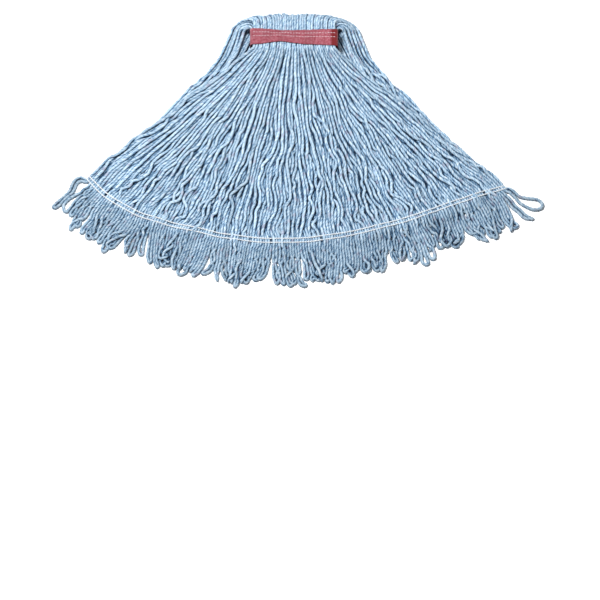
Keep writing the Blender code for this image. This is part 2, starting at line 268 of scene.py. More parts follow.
def tip_path(a, b, direction, lean):
    """The fringe's loop from slot a to slot b: down, round the tip and up, with its own lean."""
    middle = (a + b) / 2
    half_gap = np.linalg.norm(b - a) / 2
    length = (FRINGE + dice.normal() * 4.6 * mm) * (0.86 if dice.random() < 0.12 else 1.0)
    bend = math.radians(dice.normal() * 20)
    hook = math.radians(dice.normal() * 50)
    wave = dice.normal() * 1.8 * mm
    crimp = dice.normal(0, 0.8, 2) * mm
    open_by = dice.gamma(1.1, 1.3) * mm
    twist = dice.choice([0.0, 0.0, 1.0, -1.0, 0.5, 2.0])
    t = np.linspace(0, 1, 30)
    heading = math.atan2(direction[0], -direction[1]) + lean * np.clip(t * 4, 0, 1) \
        + bend * (t - 0.3) * np.clip(t * 4, 0, 1) + hook * np.clip((t - 0.65) / 0.35, 0, 1) ** 2
    step = length / 29
    centre = np.stack([np.cumsum(np.sin(heading)), -np.cumsum(np.cos(heading))], 1) * step
    centre += middle - centre[0]
    across = np.stack([np.cos(heading), np.sin(heading)], 1)
    centre += across * (wave * np.sin(t * 7))[:, None]
    width = np.interp(t, [0, 0.12, 0.6, 0.86, 0.96, 1.0],
                      [half_gap, 2.7 * mm, 2.7 * mm + open_by * 0.4, 2.9 * mm + open_by,
                       2.4 * mm + open_by * 0.6, 0.3 * mm])
    angle = twist * math.pi * np.clip((t - 0.15) / 0.7, 0, 1)
    lift = width * np.sin(angle)
    flat = width * np.cos(angle)
    z = np.interp(t, [0, 0.3, 1], [12 * mm, 7 * mm, 5 * mm]) + abs(dice.normal()) * 2 * mm
    ripple = np.sin(t * 17) * np.clip((1 - t) * 4, 0, 1) * np.clip(t * 6, 0, 1)
    left = np.column_stack([centre - across * (flat + crimp[0] * ripple)[:, None], z - lift])
    right = np.column_stack([centre + across * (flat + crimp[1] * ripple)[:, None], z + lift])
    return even_points(np.vstack([left, right[::-1]]), TIP_STEPS)


def stray_tip(route, opening, a, b):
    """A loop that has swung out on its own, open by so much along its route, from a to b."""
    middle = smooth_curve(route, 40)
    along = np.gradient(middle, axis=0)
    along /= np.linalg.norm(along, axis=1)[:, None]
    across = np.column_stack([-along[:, 1], along[:, 0]])
    wide = np.interp(np.linspace(0, 1, 41), *zip(*opening))[:, None] * mm
    tip = np.vstack([a, (middle - across * wide)[3:], (middle + across * wide)[:2:-1], b])
    tip = even_points(tip, TIP_STEPS)
    from_end = np.minimum(np.arange(len(tip)), len(tip) - 1 - np.arange(len(tip)))
    return np.column_stack([tip, YARN / 2 + np.interp(from_end, [0, 8], [9 * mm, 0])])


SEWN = [FAN_STEPS, FAN_STEPS + 1, BEADS - FAN_STEPS - 2, BEADS - FAN_STEPS - 1]


def loop_paths(front):
    """Beads of every loop, shape (loops, beads, 3), and a mask of those held still."""
    paths, slots, outs = strand_paths(front)
    paths = add_waves(paths, outs, front)
    leans = np.radians(5 * soft_noise(np.zeros(1), 9, 2)[:, 0] + dice.normal(0, 5, STRANDS))
    beads = np.zeros((LOOPS, BEADS, 3))
    for n in range(LOOPS):
        a, b = 2 * n, 2 * n + 1
        way = (outs[a] + outs[b]) / 2
        angle = math.atan2(way[0], -way[1]) * (FRINGE_SPREAD + 0.35 * abs(2 * n / LOOPS - 1) ** 4)
        if front and n == 0:
            tip = stray_tip(LEFT_LOOP, LEFT_OPENING, slots[a], slots[b])
        elif front and n == LOOPS - 1:
            tip = stray_tip(RIGHT_LOOP, RIGHT_OPENING, slots[a], slots[b])
        else:
            down = np.array([math.sin(angle), -math.cos(angle)])
            tip = tip_path(slots[a], slots[b], down, leans[a])
            tip[0, :2], tip[-1, :2] = slots[a], slots[b]
            tip[0, 2] = tip[-1, 2] = paths[a][-1, 2]
        beads[n] = np.vstack([paths[a], tip, paths[b][::-1]])
    from_end = np.minimum(np.arange(BEADS), BEADS - 1 - np.arange(BEADS))
    if front:
        held = beads[:, :, 1] > -1 * mm
    else:
        side = np.abs(np.linspace(-1, 1, LOOPS))[:, None]
        held = (from_end < FAN_STEPS * 0.6) & (beads[:, :, 1] > (-8 - 45 * side ** 6) * mm)
    return beads, held


# How thick the yarn is at each bead: squeezed in the headband and under the tailband's stitches,
# and drawn a little thinner in the fringe, where it hangs free and twists up.
bead_rank = np.arange(BEADS)
from_sewn = np.min([np.abs(bead_rank - k) for k in SEWN], axis=0)
from_band = np.minimum(bead_rank, BEADS - 1 - bead_rank)
SLIM = np.interp(from_sewn, [0, 1, 5], [0.80, 0.84, 1.0]) * np.interp(from_band, [2, 8], [0.88, 1])
SLIM[FAN_STEPS + 2:-FAN_STEPS - 2] *= 0.9
# The fringe's yarn is painted darker than the fan's: painted shade.
FRINGE_PAINTED_SHADE = np.interp(from_band, [FAN_STEPS, FAN_STEPS + 4], [1.0, 0.78])

# --- Yarn: how it settles ---------------------------------------------------------------------
# Yarn is limp and keeps its length. Each loop is a chain of beads a yarn's width apart. They sink
# under their own weight, hold their spacing, and push apart where two yarns would share a place.

ROUNDS = 170
SINK = 0.22 * mm                     # how far the yarn falls in the first round
BODY = (0.015, 0.015, 0.06)          # how far a bead moves to the middle of its two neighbours
SMOOTH = (0.22, 0.22, 0.4)           # the same once it lies still
PRESSED = 0.485                      # how near a yarn's middle another gets, over their sum
COVER_REACH = 1.7 * YARN             # how far off other yarn still covers a spot


def near_pairs(points, reach):
    """Index pairs of points closer than about `reach`, found through a grid of cells."""
    cell = np.floor(points / reach).astype(np.int64)
    cell -= cell.min(0) - 1
    span = cell.max(0) + 2
    key = (cell[:, 0] * span[1] + cell[:, 1]) * span[2] + cell[:, 2]
    order = np.argsort(key, kind="stable")
    ranked = key[order]
    firsts, seconds = [], []
    for dx, dy, dz in [(0, 0, 0), (0, 0, 1), (0, 1, -1), (0, 1, 0), (0, 1, 1),
                       (1, -1, -1), (1, -1, 0), (1, -1, 1), (1, 0, -1), (1, 0, 0), (1, 0, 1),
                       (1, 1, -1), (1, 1, 0), (1, 1, 1)]:
        goal = ranked + (dx * span[1] + dy) * span[2] + dz
        low = np.searchsorted(ranked, goal, "left")
        high = np.searchsorted(ranked, goal, "right")
        if (dx, dy, dz) == (0, 0, 0):
            low = np.arange(len(ranked)) + 1
        count = np.maximum(high - low, 0)
        total = count.sum()
        begin = np.repeat(np.cumsum(count) - count, count)
        inside = np.arange(total) - begin
        firsts.append(order[np.repeat(np.arange(len(ranked)), count)])
        seconds.append(order[np.repeat(low, count) + inside])
    return np.concatenate(firsts), np.concatenate(seconds)


def settle(beads, held, under, rounds):
    """Let the loops sink and sort themselves out, over the beads of `under` that lie still."""
    loops = len(beads)
    rest = np.linalg.norm(np.diff(beads, axis=1), axis=2)
    free = (~held).astype(float)
    count = beads.shape[0] * beads.shape[1]
    weight = np.concatenate([free.ravel(), np.zeros(len(under))])
    chain = np.concatenate([np.repeat(np.arange(loops), BEADS), np.full(len(under), -1)])
    place = np.concatenate([np.tile(np.arange(BEADS), loops), np.zeros(len(under), int)])
    slim = np.concatenate([np.tile(SLIM, loops), np.ones(len(under))])
    pinned = beads.copy()
    for step in range(rounds):
        sink = SINK * (1 - 0.6 * step / rounds)
        beads[:, :, 2] -= sink * free
        middle = (beads[:, 2:] + beads[:, :-2]) / 2 - beads[:, 1:-1]
        beads[:, 1:-1] += BODY * middle * free[:, 1:-1, None]
        for _ in range(3):
            for odd in (0, 1):
                a, b = beads[:, odd:-1:2], beads[:, odd + 1::2]
                gap = b - a
                long = np.linalg.norm(gap, axis=2)
                wa, wb = free[:, odd:-1:2], free[:, odd + 1::2]
                pull = (long - rest[:, odd::2]) / np.maximum(long * (wa + wb), 1e-9)
                a += gap * (pull * wa)[:, :, None]
                b -= gap * (pull * wb)[:, :, None]
        points = np.concatenate([beads.reshape(-1, 3), under])
        if step % 5 == 0:
            i, j = near_pairs(points, YARN * 1.35)
            keep = ((chain[i] != chain[j]) | (np.abs(place[i] - place[j]) > 3)) \
                & (weight[i] + weight[j] > 0)
            i, j = i[keep], j[keep]
            wide = YARN * PRESSED * (slim[i] + slim[j])
        gap = points[j] - points[i]
        long = np.maximum(np.linalg.norm(gap, axis=1), 1e-6)
        hit = long < wide
        gi, gj, gap, long, limit = i[hit], j[hit], gap[hit], long[hit], wide[hit]
        push = 0.6 * (limit - long) / (long * (weight[gi] + weight[gj]))
        share = np.maximum(1, 0.5 * (np.bincount(gi, minlength=len(points))
                                     + np.bincount(gj, minlength=len(points))))
        for axis in range(3):
            amount = gap[:, axis] * push
            points[:, axis] += (np.bincount(gj, amount * weight[gj], len(points))
                                - np.bincount(gi, amount * weight[gi], len(points))) / share
        beads = points[:count].reshape(loops, BEADS, 3)
        beads[:, :, 2] = np.maximum(beads[:, :, 2], YARN / 2)
        beads[held] = pinned[held]
        beads[:, SEWN, :2] = pinned[:, SEWN, :2]
    for _ in range(2):
        middle = (beads[:, 2:] + beads[:, :-2]) / 2 - beads[:, 1:-1]
        beads[:, 1:-1] += SMOOTH * middle * free[:, 1:-1, None]
    beads[:, :, 2] = np.maximum(beads[:, :, 2], YARN / 2)
    return beads


def cover(points):
    """What lies round each bead: the sum of directions to its neighbours, and of their squares.

    A spot on the yarn whose normal is n is covered by half of n.d + (n.d)^2, over each direction d.
    Only yarn of its own half counts, because the halves come apart.
    """
    i, j = near_pairs(points, COVER_REACH)
    gap = points[j] - points[i]
    long = np.maximum(np.linalg.norm(gap, axis=1), 1e-6)
    gap /= long[:, None]
    near = np.clip((COVER_REACH - long) / (COVER_REACH - YARN), 0, 1)

    def gather(values, sign):
        return np.stack([np.bincount(i, near * v, len(points))
                         + sign * np.bincount(j, near * v, len(points)) for v in values.T], 1)

    return (gather(gap, -1), gather(gap * gap, 1),
            gather(np.stack([gap[:, 0] * gap[:, 1], gap[:, 1] * gap[:, 2],
                             gap[:, 2] * gap[:, 0]], 1), 1))


back_beads, back_held = loop_paths(front=False)
back_beads = settle(back_beads, back_held, np.zeros((0, 3)), ROUNDS)
front_beads, front_held = loop_paths(front=True)
front_beads = settle(front_beads, front_held, back_beads.reshape(-1, 3), ROUNDS)
back_cover, front_cover = (
    np.stack([part.reshape(LOOPS, BEADS, 3) for part in cover(beads.reshape(-1, 3))], 1)
    for beads in (back_beads, front_beads))
back_beads += np.array(edge)
front_beads += np.array(edge)

# --- Yarn: its plies --------------------------------------------------------------------------
# Four plies twisted together, a turn every 26 mm. Each ply is a lobe of the section, so the twist
# stands out as real ridges. The tree takes chains of edges and gives the tubes.

LAY = 26 * mm
RING = 1.6 * mm
PLY_DEPTH = 0.10                     # how far the valleys between plies fall in, over the radius


def yarn_tree(material):
    tree = bpy.data.node_groups.new("four_ply_yarn", "GeometryNodeTree")
    face = tree.interface
    face.new_socket("Geometry", in_out="INPUT", socket_type="NodeSocketGeometry")
    for name, value in (("Thickness", YARN), ("Lay", LAY), ("Ring spacing", RING),
                        ("Ply depth", PLY_DEPTH)):
        face.new_socket(name, in_out="INPUT", socket_type="NodeSocketFloat").default_value = value
    face.new_socket("Geometry", in_out="OUTPUT", socket_type="NodeSocketGeometry")

    def add(kind, links=(), values=(), **settings):
        return add_node(tree, kind, values, links, **settings)

    given = add("NodeGroupInput")
    curve = add("GeometryNodeMeshToCurve", [("Mesh", given, "Geometry")])
    kind = add("GeometryNodeCurveSplineType", [("Curve", curve, "Curve")],
               spline_type="CATMULL_ROM")
    even = add("GeometryNodeResampleCurve", [("Curve", kind, "Curve"),
                                             ("Length", given, "Ring spacing")], mode="LENGTH")
    run = add("GeometryNodeSplineParameter")
    phase = add("GeometryNodeInputNamedAttribute", values={"Name": "phase"}, data_type="FLOAT")
    start = add("ShaderNodeMath", [(0, run, "Length"), (1, phase, "Attribute")], operation="ADD")
    along = add("GeometryNodeStoreNamedAttribute",
                [("Geometry", even, "Curve"), ("Value", start, 0)], values={"Name": "along"},
                data_type="FLOAT", domain="POINT")
    turns = add("ShaderNodeMath", [(0, start, 0), (1, given, "Lay")], operation="DIVIDE")
    angle = add("ShaderNodeMath", [(0, turns, 0)], values={1: 2 * math.pi}, operation="MULTIPLY")
    tilt = add("GeometryNodeSetCurveTilt", [("Curve", along, "Geometry"), ("Tilt", angle, 0)])
    slim = add("GeometryNodeInputNamedAttribute", values={"Name": "slim"}, data_type="FLOAT")
    radius = add("GeometryNodeSetCurveRadius", [("Curve", tilt, "Curve"),
                                                ("Radius", slim, "Attribute")])
    half = add("ShaderNodeMath", [(0, given, "Thickness")], values={1: 0.5},
               operation="MULTIPLY")
    circle = add("GeometryNodeCurvePrimitiveCircle", [("Radius", half, 0)],
                 values={"Resolution": 8})
    index = add("GeometryNodeInputIndex")
    odd = add("ShaderNodeMath", [(0, index, 0)], values={1: 2.0}, operation="MODULO")
    dip = add("ShaderNodeMath", [(0, odd, 0), (1, given, "Ply depth")], operation="MULTIPLY")
    keep = add("ShaderNodeMath", [(1, dip, 0)], values={0: 1.0}, operation="SUBTRACT")
    place = add("GeometryNodeInputPosition")
    lobed = add("ShaderNodeVectorMath", [("Vector", place, "Position"), ("Scale", keep, 0)],
                operation="SCALE")
    section = add("GeometryNodeSetPosition", [("Geometry", circle, "Curve"),
                                              ("Position", lobed, 0)])
    rim = add("GeometryNodeStoreNamedAttribute", [("Geometry", section, "Geometry"),
                                                  ("Value", place, "Position")],
              values={"Name": "rim"}, data_type="FLOAT_VECTOR", domain="POINT")
    valley = add("GeometryNodeStoreNamedAttribute", [("Geometry", rim, "Geometry"),
                                                     ("Value", odd, 0)],
                 values={"Name": "valley"}, data_type="FLOAT", domain="POINT")
    skin = add("GeometryNodeCurveToMesh", [("Curve", radius, "Curve"),
                                           ("Profile Curve", valley, "Geometry")],
               values={"Fill Caps": True})
    smooth = add("GeometryNodeSetShadeSmooth", [("Geometry", skin, "Mesh")])
    real = add("GeometryNodeRealizeInstances", [("Geometry", smooth, "Geometry")])
    finish = add("GeometryNodeSetMaterial", [("Geometry", real, "Geometry")])
    finish.inputs["Material"].default_value = material
    add("NodeGroupOutput", [("Geometry", finish, "Geometry")])
    return tree


# Cotton and synthetic fibres dyed in the fleece: mostly pale blue, with paler and darker fibres,
# a few greyish pink ones and some left white. It is soft and matt. Its colour carries painted
# shade:
# darker and more saturated in the valleys between its plies and where other yarn covers it.

DEEP_SHADE = 3.4                     # how much painted shade deepens and saturates its colour where other yarn covers it
PLY_SHADE = 0.45                     # and painted shade in the valleys between its plies
yarn_material, tree, shader = new_material("light_blue_heather_cotton_yarn")
along = add_node(tree, "ShaderNodeAttribute", attribute_name="along")
rim = add_node(tree, "ShaderNodeAttribute", attribute_name="rim")
valley = add_node(tree, "ShaderNodeAttribute", attribute_name="valley")
tone_and_painted_shade = add_node(tree, "ShaderNodeAttribute", attribute_name="tone_and_painted_shade")
painted_cover_shade = add_node(tree, "ShaderNodeAttribute", attribute_name="painted_cover_shade")
rod = add_node(tree, "ShaderNodeCombineXYZ", links=[("Z", along, "Fac")])
spot = add_node(tree, "ShaderNodeVectorMath",
                links=[(0, rod, 0), (1, rim, "Vector")], operation="ADD")
fibre_map = add_node(tree, "ShaderNodeMapping", {"Scale": (1.0, 1.0, 0.16)},
                     [("Vector", spot, 0)])
fibres = add_node(tree, "ShaderNodeTexNoise", {"Scale": 1500, "Detail": 2.0},
                  [("Vector", fibre_map, 0)])
fleck_map = add_node(tree, "ShaderNodeMapping", {"Scale": (1.0, 1.0, 0.45)},
                     [("Vector", spot, 0)])
flecks = add_node(tree, "ShaderNodeTexNoise", {"Scale": 420, "Detail": 1.0},
                  [("Vector", fleck_map, 0)])
patches = add_node(tree, "ShaderNodeTexNoise", {"Scale": 70, "Detail": 1.0},
                   [("Vector", spot, 0)])
heather = add_node(tree, "ShaderNodeValToRGB", links=[("Fac", flecks, "Fac")])
stops = [(0.30, "#7a97b2"), (0.42, "#a2b9cc"), (0.52, "#b5cada"), (0.62, "#c1d3e1"),
         (0.70, "#d3dee8")]
ramp = heather.color_ramp
while len(ramp.elements) < len(stops):
    ramp.elements.new(0.5)
for element, (at, code) in zip(ramp.elements, stops):
    element.position = at
    element.color = linear(code)
pink_mask = add_node(tree, "ShaderNodeMapRange",
                     {"From Min": 0.60, "From Max": 0.70, "To Max": 0.45},
                     [("Value", patches, "Fac")])
with_pink = add_node(tree, "ShaderNodeMixRGB", {"Color2": linear("#a69dae")},
                     [("Fac", pink_mask, 0), ("Color1", heather, "Color")])
fibre_light = add_node(tree, "ShaderNodeMapRange",
                       {"From Min": 0.3, "From Max": 0.7, "To Min": 0.82, "To Max": 1.15},
                       [("Value", fibres, "Fac")])
# Painted shade in the valleys between the plies.
ply_valley_shade = add_node(tree, "ShaderNodeMath", {1: PLY_SHADE},
                   [(0, valley, "Fac")], operation="MULTIPLY")
# Painted shade where other yarn covers a spot: its colour is raised to a higher power and darkened.
under = add_node(tree, "ShaderNodeMath", {1: DEEP_SHADE}, [(0, painted_cover_shade, "Fac")],
                 operation="MULTIPLY")
painted_shade_amount = add_node(tree, "ShaderNodeMath", links=[(0, ply_valley_shade, 0), (1, under, 0)],
                  operation="ADD")
power = add_node(tree, "ShaderNodeMath", {1: 1.0}, [(0, painted_shade_amount, 0)], operation="ADD")
shaded_colour = add_node(tree, "ShaderNodeGamma", links=[("Color", with_pink, 0),
                                                         ("Gamma", power, 0)])
dim = add_node(tree, "ShaderNodeMapRange", {"To Min": 1.0, "To Max": 0.35},
               [("Value", painted_cover_shade, "Fac")])
# Each loop's own tone with the fringe's painted shade, times the fibres' lighter and darker
# streaks.
lit = add_node(tree, "ShaderNodeMath", links=[(0, fibre_light, 0), (1, tone_and_painted_shade, "Fac")],
               operation="MULTIPLY")
brightness = add_node(tree, "ShaderNodeMath", links=[(0, lit, 0), (1, dim, 0)],
                 operation="MULTIPLY")
coloured = add_node(tree, "ShaderNodeVectorMath",
                    links=[("Vector", shaded_colour, 0), ("Scale", brightness, 0)], operation="SCALE")
tree.links.new(coloured.outputs[0], shader.inputs["Base Color"])
fuzz = add_node(tree, "ShaderNodeBump", {"Strength": 0.5, "Distance": 0.0004},
                [("Height", fibres, "Fac")])
tree.links.new(fuzz.outputs[0], shader.inputs["Normal"])
shader.inputs["Roughness"].default_value = 0.92
shader.inputs["Specular IOR Level"].default_value = 0.12
shader.inputs["Sheen Weight"].default_value = 0.12
shader.inputs["Sheen Roughness"].default_value = 0.5
shader.inputs["Sheen Tint"].default_value = linear("#cfe2f5")

four_ply = yarn_tree(yarn_material)
COVERS = ("cover_sum", "cover_square", "cover_cross")
FULL_COVER = 1.7                     # how much cover leaves a spot at its darkest painted shade
COVER_POWER = 3.2                    # how suddenly it darkens towards that


def make_yarn(name, loops, covers):
    """Turn chains of beads into one mesh of twisted yarn; nothing of the tree stays on it."""
    chains = bpy.data.meshes.new(name)
    count = loops.shape[0] * loops.shape[1]
    ends = np.arange(count).reshape(loops.shape[:2])
    pairs = np.stack([ends[:, :-1].ravel(), ends[:, 1:].ravel()], 1)
    chains.from_pydata(loops.reshape(-1, 3), pairs, [])
    # Per loop: a random tone of its own, times painted shade in the fringe.
    for label, values in (("phase", np.repeat(dice.uniform(0, 2, len(loops)), BEADS)),
                          ("tone_and_painted_shade", np.outer(dice.normal(1.0, 0.055, len(loops)), FRINGE_PAINTED_SHADE).ravel()),
                          ("slim", np.tile(SLIM, len(loops)))):
        layer = chains.attributes.new(label, "FLOAT", "POINT")
        layer.data.foreach_set("value", values.astype(np.float32))
    for k, label in enumerate(COVERS):
        layer = chains.attributes.new(label, "FLOAT_VECTOR", "POINT")
        layer.data.foreach_set("vector", covers[:, k].astype(np.float32).ravel())
    obj = bpy.data.objects.new(name, chains)
    bpy.context.scene.collection.objects.link(obj)
    spin = obj.modifiers.new("yarn", "NODES")
    spin.node_group = four_ply
    graph = bpy.context.evaluated_depsgraph_get()
    mesh = bpy.data.meshes.new_from_object(obj.evaluated_get(graph))
    obj.modifiers.clear()
    obj.data = mesh
    bpy.data.meshes.remove(chains)
    normal = np.zeros(len(mesh.vertices) * 3, np.float32)
    mesh.vertex_normals.foreach_get("vector", normal)
    normal = normal.reshape(-1, 3)
    sums = []
    for label in COVERS:
        layer = mesh.attributes[label]
        values = np.zeros(len(mesh.vertices) * 3, np.float32)
        layer.data.foreach_get("vector", values)
        sums.append(values.reshape(-1, 3))
    for label in COVERS:
        mesh.attributes.remove(mesh.attributes[label])
    # Painted shade: each spot is darkened by how much other yarn of its half lies over and beside
    # it.
    turned = normal * np.roll(normal, -1, axis=1)
    hidden = ((normal * sums[0]).sum(1) + (normal ** 2 * sums[1]).sum(1)
              + 2 * (turned * sums[2]).sum(1)) / 2
    mesh.attributes.new("painted_cover_shade", "FLOAT", "POINT").data.foreach_set(
        "value", (np.clip(hidden / FULL_COVER, 0, 1) ** COVER_POWER).astype(np.float32))
    return obj


CORDS = 40                           # loops made one object each: those that reach the furthest
IN_LOCK = 17                         # loops in each lock of the others


def bend_with(obj):
    """Bake the yarn's placement into its mesh."""
    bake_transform(obj)


both = [("front", n, front_beads[n], front_cover[n]) for n in range(LOOPS)] \
    + [("back", n, back_beads[n], back_cover[n]) for n in range(LOOPS)]
furthest = sorted(both, key=lambda one: -np.linalg.norm(one[2] - np.array(edge), axis=1).max())
declared = {(one[0], one[1]) for one in furthest[:CORDS - 2]} \
    | {("front", 0), ("front", LOOPS - 1)}
for half, skirt in (("front", "front_skirt"), ("back", "back_skirt")):
    hanks = [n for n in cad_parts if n.startswith(half) and "hank" in n]
    gathered = []
    for side, n, line, covering in both:
        if side != half:
            continue
        if (half, n) not in declared:
            gathered.append((line, covering))
            continue
        obj = make_yarn(f"{half}_yarn_{n + 1:02d}", line[None], covering[None])
        bend_with(obj)
        if (half, n) == ("front", 0):
            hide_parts("stray_loop_left")
        if (half, n) == ("front", LOOPS - 1):
            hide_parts("stray_loop_right")
    for part in range(0, len(gathered), IN_LOCK):
        some = gathered[part:part + IN_LOCK]
        obj = make_yarn(f"{half}_yarn_lock_{part // IN_LOCK + 1}",
                        np.array([one[0] for one in some]), np.array([one[1] for one in some]))
        bend_with(obj)
        if part == 0:
            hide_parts(*hanks)
            if half == "back":
                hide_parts(*[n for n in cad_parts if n.startswith("head_hank")])

# --- Stitches ---------------------------------------------------------------------------------
# Sewing thread laid along a row, one stitch after another. The tree takes the row's line and puts
# a link of thread at every stitch, so a wide link is a chain stitch and a narrow one a lock stitch.

def stitch_tree(name, material):
    tree = bpy.data.node_groups.new(name, "GeometryNodeTree")
    face = tree.interface
    face.new_socket("Geometry", in_out="INPUT", socket_type="NodeSocketGeometry")
    for label, value in (("Pitch", 4 * mm), ("Length", 5 * mm), ("Width", 2 * mm),
                         ("Thread", 0.8 * mm)):
        face.new_socket(label, in_out="INPUT", socket_type="NodeSocketFloat").default_value = value
    face.new_socket("Geometry", in_out="OUTPUT", socket_type="NodeSocketGeometry")

    def add(kind, links=(), values=(), **settings):
        return add_node(tree, kind, values, links, **settings)

    given = add("NodeGroupInput")
    curve = add("GeometryNodeMeshToCurve", [("Mesh", given, "Geometry")])
    spots = add("GeometryNodeCurveToPoints", [("Curve", curve, "Curve"),
                                              ("Length", given, "Pitch")], mode="LENGTH")
    turn = add("FunctionNodeAlignRotationToVector", [("Vector", spots, "Tangent")], axis="X")
    level = add("FunctionNodeAlignRotationToVector", [("Rotation", turn, "Rotation")],
                {"Vector": (0, 0, 1)}, axis="Z", pivot_axis="X")
    sway = add("FunctionNodeRandomValue", values={"Min": (-0.06, -0.05, -0.14),
                                                  "Max": (0.06, 0.05, 0.14), "Seed": 5},
               data_type="FLOAT_VECTOR")
    wobble = add("FunctionNodeRotateRotation", [("Rotation", level, "Rotation"),
                                                ("Rotate By", sway, 0)], rotation_space="LOCAL")
    size = add("ShaderNodeCombineXYZ", [("X", given, "Length"), ("Y", given, "Width")],
               {"Z": 1.0})
    circle = add("GeometryNodeCurvePrimitiveCircle", values={"Resolution": 12, "Radius": 0.5})
    link = add("GeometryNodeTransform", [("Geometry", circle, "Curve"), ("Scale", size, 0)])
    half = add("ShaderNodeMath", [(0, given, "Thread")], {1: 0.5}, operation="MULTIPLY")
    rim = add("GeometryNodeCurvePrimitiveCircle", [("Radius", half, 0)], {"Resolution": 6})
    thread = add("GeometryNodeCurveToMesh", [("Curve", link, "Geometry"),
                                             ("Profile Curve", rim, "Curve")])
    laid = add("GeometryNodeInstanceOnPoints", [("Points", spots, "Points"),
                                                ("Instance", thread, "Mesh"),
                                                ("Rotation", wobble, "Rotation")])
    real = add("GeometryNodeRealizeInstances", [("Geometry", laid, "Instances")])
    smooth = add("GeometryNodeSetShadeSmooth", [("Geometry", real, "Geometry")])
    finish = add("GeometryNodeSetMaterial", [("Geometry", smooth, "Geometry")])
    finish.inputs["Material"].default_value = material
    add("NodeGroupOutput", [("Geometry", finish, "Geometry")])
    return tree


def sewn(name, lines, tree, pitch, length, width, thread):
    """Rows of stitches along lines of points, as one mesh."""
    chains = bpy.data.meshes.new(name)
    points = np.vstack(lines)
    firsts = np.cumsum([0] + [len(line) for line in lines])
    pairs = [(k, k + 1) for a, b in zip(firsts, firsts[1:]) for k in range(a, b - 1)]
    chains.from_pydata(points, pairs, [])
    obj = bpy.data.objects.new(name, chains)
    bpy.context.scene.collection.objects.link(obj)
    stitch = obj.modifiers.new("stitches", "NODES")
    stitch.node_group = tree
    sockets = {item.name: item.identifier for item in tree.interface.items_tree
               if item.in_out == "INPUT"}
    for label, value in (("Pitch", pitch), ("Length", length), ("Width", width),
                         ("Thread", thread)):
        stitch[sockets[label]] = value
    graph = bpy.context.evaluated_depsgraph_get()
    mesh = bpy.data.meshes.new_from_object(obj.evaluated_get(graph))
    obj.modifiers.clear()
    obj.data = mesh
    bpy.data.meshes.remove(chains)
    return obj


def thread_material(name, code):
    """Twisted polyester thread: fine slanted strands, a low sheen, a little soiling."""
    material, tree, shader = new_material(name)
    place = add_node(tree, "ShaderNodeTexCoord")
    strands = add_node(tree, "ShaderNodeTexNoise", {"Scale": 2200, "Detail": 1.0},
                       [("Vector", place, "Object")])
    soil = add_node(tree, "ShaderNodeTexNoise", {"Scale": 160, "Detail": 2.0},
                    [("Vector", place, "Object")])
    light = add_node(tree, "ShaderNodeMapRange", {"From Min": 0.3, "From Max": 0.7,
                                                 "To Min": 0.88, "To Max": 1.08},
                     [("Value", strands, "Fac")])
    worn = add_node(tree, "ShaderNodeMixRGB", {"Color1": linear(code),
                                              "Color2": linear("#cdd6e0")},
                    [("Fac", soil, "Fac")])
    tinted = add_node(tree, "ShaderNodeVectorMath", links=[("Vector", worn, 0),
                                                          ("Scale", light, 0)],
                      operation="SCALE")
    tree.links.new(tinted.outputs[0], shader.inputs["Base Color"])
    bump = add_node(tree, "ShaderNodeBump", {"Strength": 0.4, "Distance": 0.0002},
                    [("Height", strands, "Fac")])
    tree.links.new(bump.outputs[0], shader.inputs["Normal"])
    shader.inputs["Roughness"].default_value = 0.6
    shader.inputs["Sheen Weight"].default_value = 0.2
    return material


# --- Tailbands --------------------------------------------------------------------------------
# Two rows of white chain stitch across each half, sewn through the yarn. The loops of the chain
# are on one side and the plain needle thread is on the other; both follow the yarn they hold.

CHAIN_PITCH = 3.9 * mm
THREAD = 0.7 * mm
chain_stitch = stitch_tree("chain_stitch", thread_material("white_polyester_thread", "#f2f2ef"))


def rolling(values, spread, best):
    padded = np.pad(values, spread, mode="edge")
    return best([padded[k:k + len(values)] for k in range(2 * spread + 1)], axis=0)


def row_line(beads, row, side):
    """The line of a sewn row over (side 1) or under (side -1) the yarns, left to right."""
    there, back = FAN_STEPS + row, BEADS - 1 - FAN_STEPS - row
    points = np.stack([beads[:, there], beads[:, back]], 1).reshape(-1, 3)
    height = rolling(points[:, 2] * side, 1, np.max) * side
    for _ in range(2):
        height = rolling(height, 2, np.mean)
    height = height + side * (YARN * 0.40 + THREAD * 0.35)
    plan = np.stack([rolling(points[:, k], 2, np.mean) for k in (0, 1)], 1)
    plan[0], plan[-1] = points[0, :2], points[-1, :2]
    return np.column_stack([plan, np.maximum(height, THREAD)])


for half, beads in (("front", front_beads), ("back", back_beads)):
    chain = sewn(f"{half}_tailband_chain_stitch", [row_line(beads, 0, 1), row_line(beads, 1, 1)],
                 chain_stitch, CHAIN_PITCH, CHAIN_PITCH * 1.3, 1.2 * mm, THREAD)
    plain = sewn(f"{half}_tailband_needle_thread",
                 [row_line(beads, 0, -1), row_line(beads, 1, -1)],
                 chain_stitch, CHAIN_PITCH, CHAIN_PITCH * 0.95, 0.3 * mm, THREAD)
    for obj, kind in ((chain, "needle"), (plain, "looper")):
        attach(obj, f"{half}_skirt")
        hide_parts(f"{half}_tailband_upper_{kind}_thread",
                    f"{half}_tailband_lower_{kind}_thread")

# --- Headband ---------------------------------------------------------------------------------
# A narrow tape of coarse open weave, red with paler threads. It is wrapped round the yarn one and a
# half times and sewn through in two rows, which gather it in near the left. Its right end is
# painted a deeper red, as painted shade.

BAND_HALF = 67 * mm
TAPE = 1.0 * mm
CORNER = 5 * mm
FACE, BACK, LAP = 45.2 * mm, 18.8 * mm, 21 * mm     # heights of its front, its back and its lap
TAPE_WIDTH = 30 * mm
STEP = 1.1 * mm                      # the mesh's step along the tape
WEAVE = 1.5 * mm
SHADED_END_FROM = 54 * mm               # where the painted shade on the tape's right end begins, right of the middle
